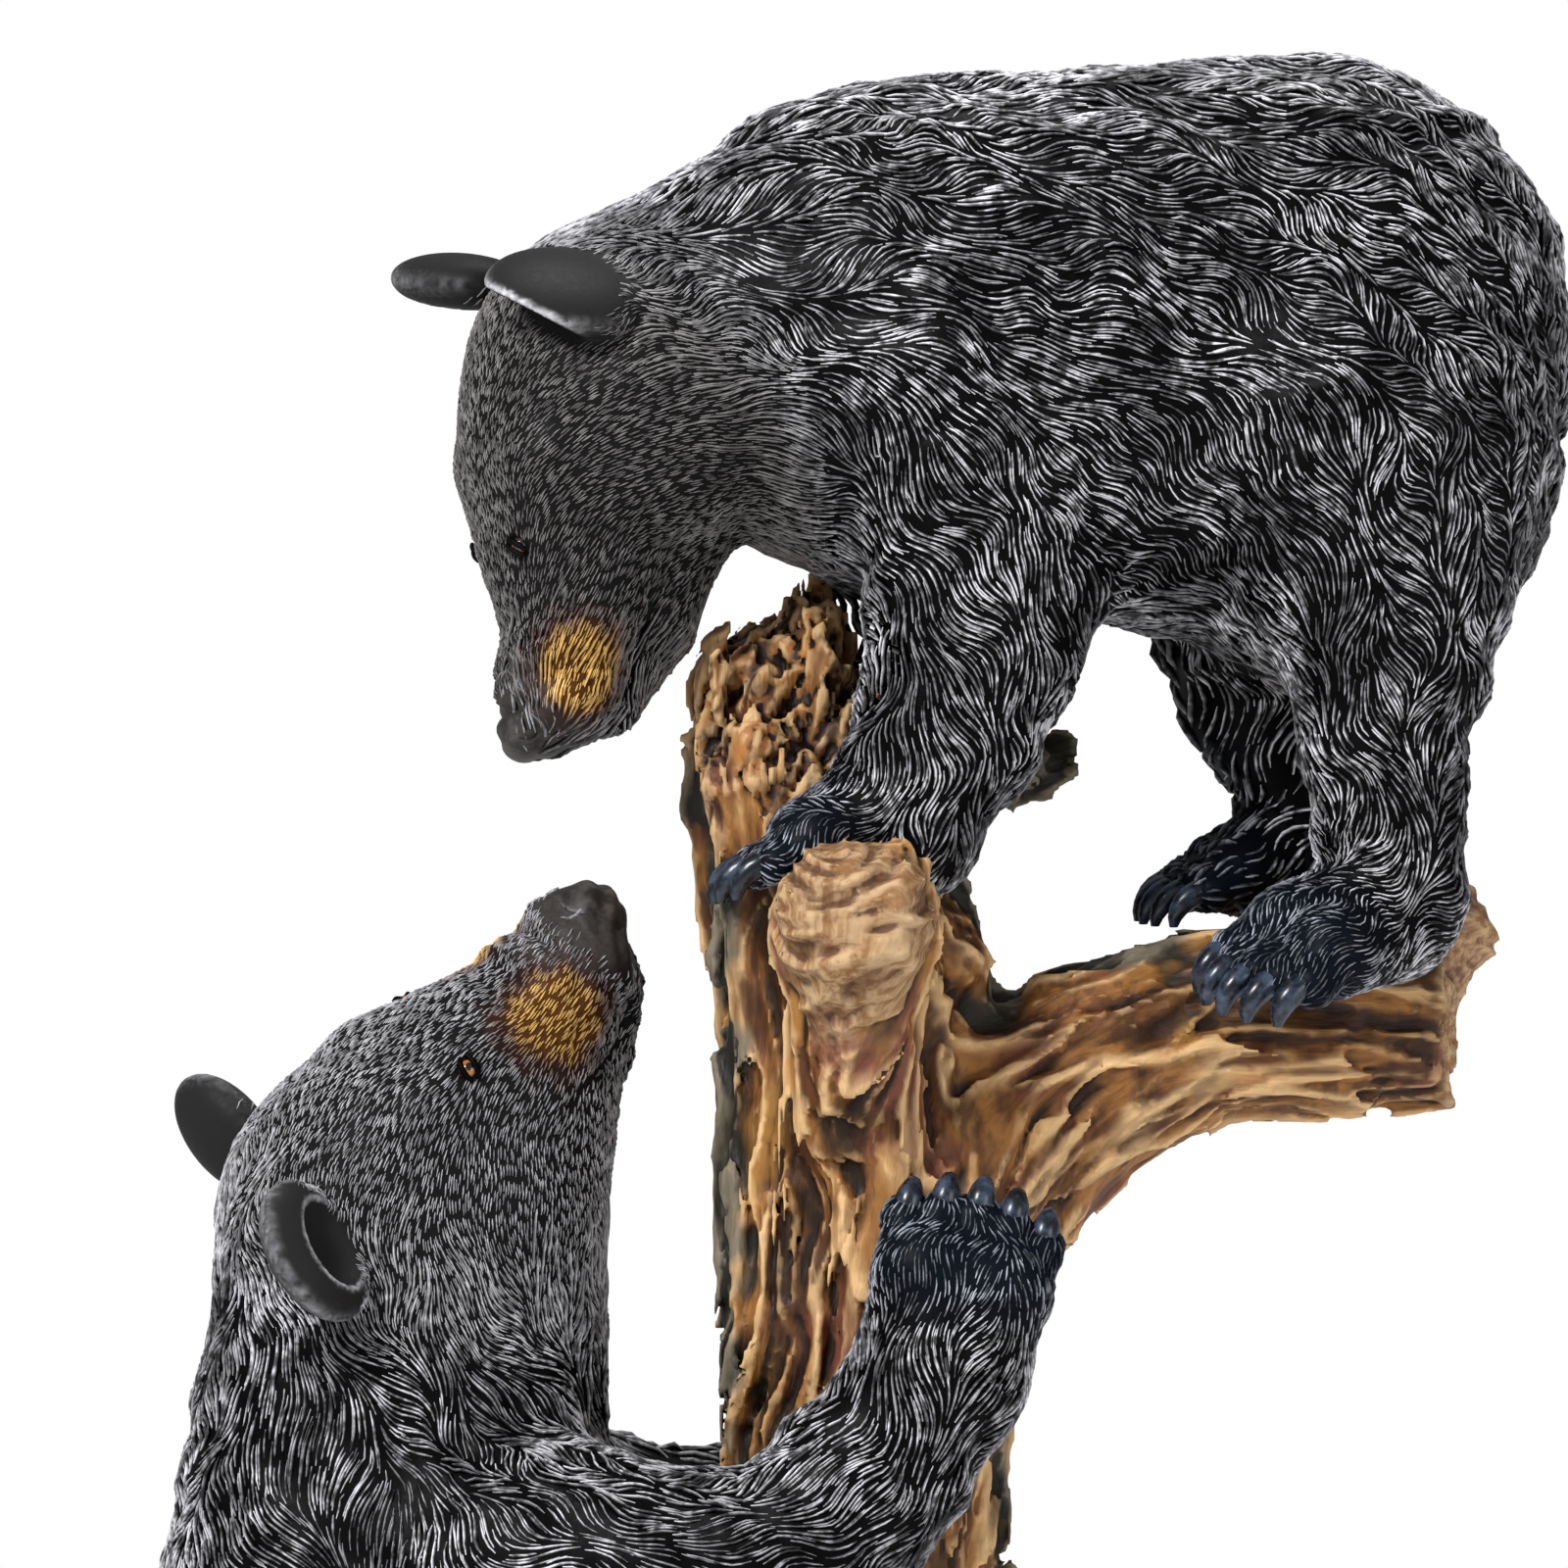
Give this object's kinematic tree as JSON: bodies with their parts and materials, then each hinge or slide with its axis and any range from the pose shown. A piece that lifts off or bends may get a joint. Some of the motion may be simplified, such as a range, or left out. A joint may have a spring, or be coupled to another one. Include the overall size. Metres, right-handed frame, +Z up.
{
  "type": "climbing bear statue",
  "caption": "Painted cast-resin garden statue of black bear cubs climbing a broken tree trunk, with a low ground base, free-standing.",
  "frame": {"origin": "centre of the footprint box, on the flat underside of the base", "axes": "+Z up; the upper cub faces -X; the front stub of the trunk points to -Y"},
  "size_m": [0.2943, 0.1684, 0.5803],
  "materials": {
    "painted_resin": "hand-painted cast resin, black dry-brushed fur and golden brown wood, satin"
  },
  "bodies": {
    "root": {"climbing_bears_casting": "painted_resin"}
  },
  "joints": []
}
